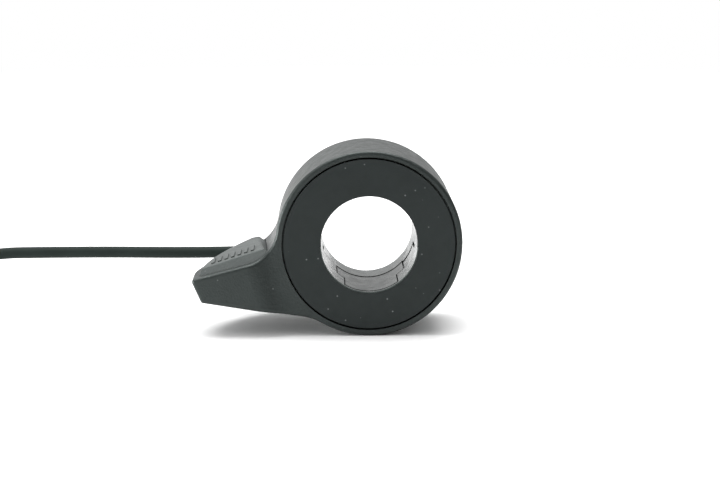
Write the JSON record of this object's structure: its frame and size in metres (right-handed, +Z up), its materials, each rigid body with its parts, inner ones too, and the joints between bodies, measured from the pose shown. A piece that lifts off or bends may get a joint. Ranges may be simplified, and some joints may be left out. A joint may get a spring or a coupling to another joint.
{
  "type": "thumb throttle lever",
  "caption": "Handlebar thumb throttle: a ring with a thumb paddle that turns round a clamped core, with a thin cable and round connector.",
  "frame": {"origin": "on the axis of the handlebar bore, halfway along the ring's width", "axes": "+Z up as it stands, +Y along the bore from the front face to the rear, +X away from the paddle"},
  "size_m": [0.1876, 0.042, 0.0432],
  "materials": {
    "black_plastic": "satin",
    "soft_plastic": "matte",
    "steel": "satin",
    "white_plastic": "satin",
    "brass": "satin",
    "tin": "satin",
    "circuit_board": "satin",
    "sensor_resin": "matte",
    "magnet": "polished",
    "rubber": "matte",
    "red_wire": "satin",
    "green_wire": "satin",
    "black_wire": "satin",
    "cable_sheath": "satin"
  },
  "bodies": {
    "core": {"core_housing": "black_plastic", "front_cover": "black_plastic", "cover_screws": "steel", "front_slide_ring": "white_plastic", "rear_slide_ring": "white_plastic", "threaded_insert": "brass", "sensor_board": "circuit_board", "board_screws": "steel", "hall_sensor": "sensor_resin", "sensor_leads": "tin", "return_spring": "steel", "strain_relief": "rubber", "exit_cap": "black_plastic", "supply_wire": "red_wire", "signal_wire": "green_wire", "ground_wire": "black_wire", "cable": "cable_sheath", "cable_coil": "cable_sheath", "cable_tail": "cable_sheath", "connector_boot": "rubber", "connector_body": "black_plastic", "connector_collar": "black_plastic", "connector_seal": "rubber", "connector_pins": "brass"},
    "lever": {"lever": "black_plastic", "thumb_pad": "soft_plastic", "magnet": "magnet"},
    "shoe": {"clamp_shoe": "black_plastic"},
    "screw": {"grub_screw": "steel"}
  },
  "joints": [
    {"name": "lever_turn", "type": "hinge", "parent": "core", "child": "lever", "pos_m": [0, 0, 0], "axis": [0, -1, 0], "range_deg": [0, 55], "stiffness_Nm_per_rad": 0.06, "springref_deg": -68.75, "deforming": ["return_spring"]},
    {"name": "screw_travel", "type": "slide", "parent": "core", "child": "screw", "axis": [0, 0, 1], "range_m": [0, 0.0004]},
    {"name": "shoe_press", "type": "slide", "parent": "core", "child": "shoe", "axis": [0, 0, 1], "range_m": [0, 0.0004]}
  ],
  "couplings": [
    {"joint": "shoe_press", "follows": "screw_travel", "ratio": 1}
  ]
}
